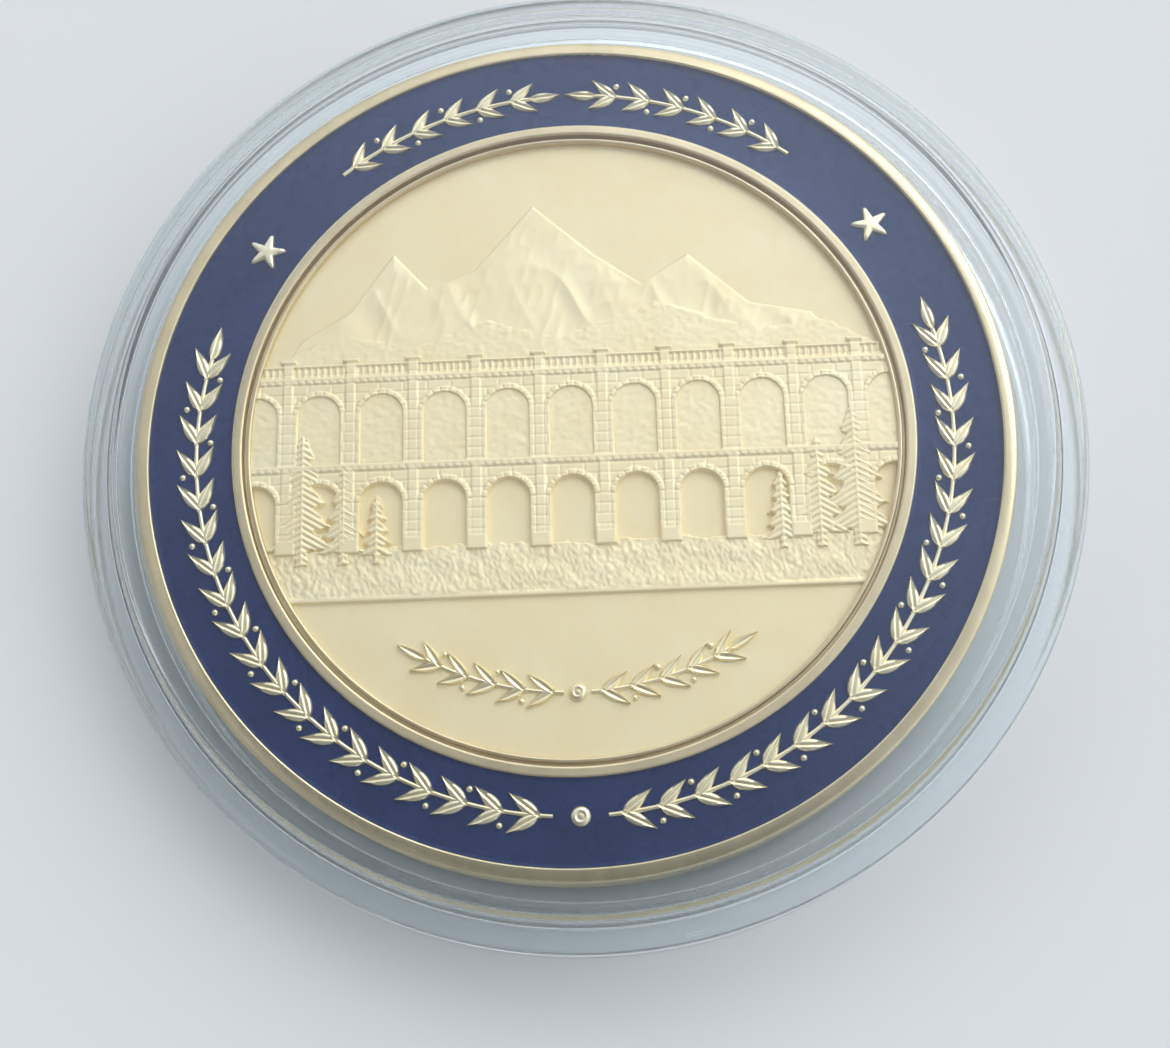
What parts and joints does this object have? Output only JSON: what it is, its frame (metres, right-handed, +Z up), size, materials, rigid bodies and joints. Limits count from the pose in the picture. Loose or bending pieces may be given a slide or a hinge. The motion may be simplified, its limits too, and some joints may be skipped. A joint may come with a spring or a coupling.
{
  "type": "challenge coin in a capsule",
  "caption": "Round gold-plated coin with a blue enamel band, raised laurel and stars, and a struck landscape, lying in a clear two-part snap capsule.",
  "frame": {"origin": "centre of the capsule's underside", "axes": "+Z up through the capsule's lid, out of the coin's front; +Y towards the top of the coin's design; +X to its right"},
  "size_m": [0.0454, 0.0454, 0.0054],
  "materials": {
    "clear_acrylic": "clear, moulded, lightly scuffed",
    "gold_plate": "satin gold plating",
    "blue_enamel": "smooth enamel"
  },
  "bodies": {
    "base": {"capsule_base": "clear_acrylic"},
    "lid": {"capsule_lid": "clear_acrylic"},
    "coin": {"coin_body": "gold_plate", "enamel_front": "blue_enamel", "enamel_back": "blue_enamel"}
  },
  "joints": [
    {"name": "lid_lift", "type": "slide", "parent": "base", "child": "lid", "axis": [0, 0, 1], "range_m": [0, 0.03]},
    {"name": "coin_lift", "type": "slide", "parent": "base", "child": "coin", "axis": [0, 0, 1], "range_m": [0, 0.015]}
  ],
  "couplings": [
    {"joint": "coin_lift", "follows": "lid_lift", "ratio": 0.5}
  ]
}
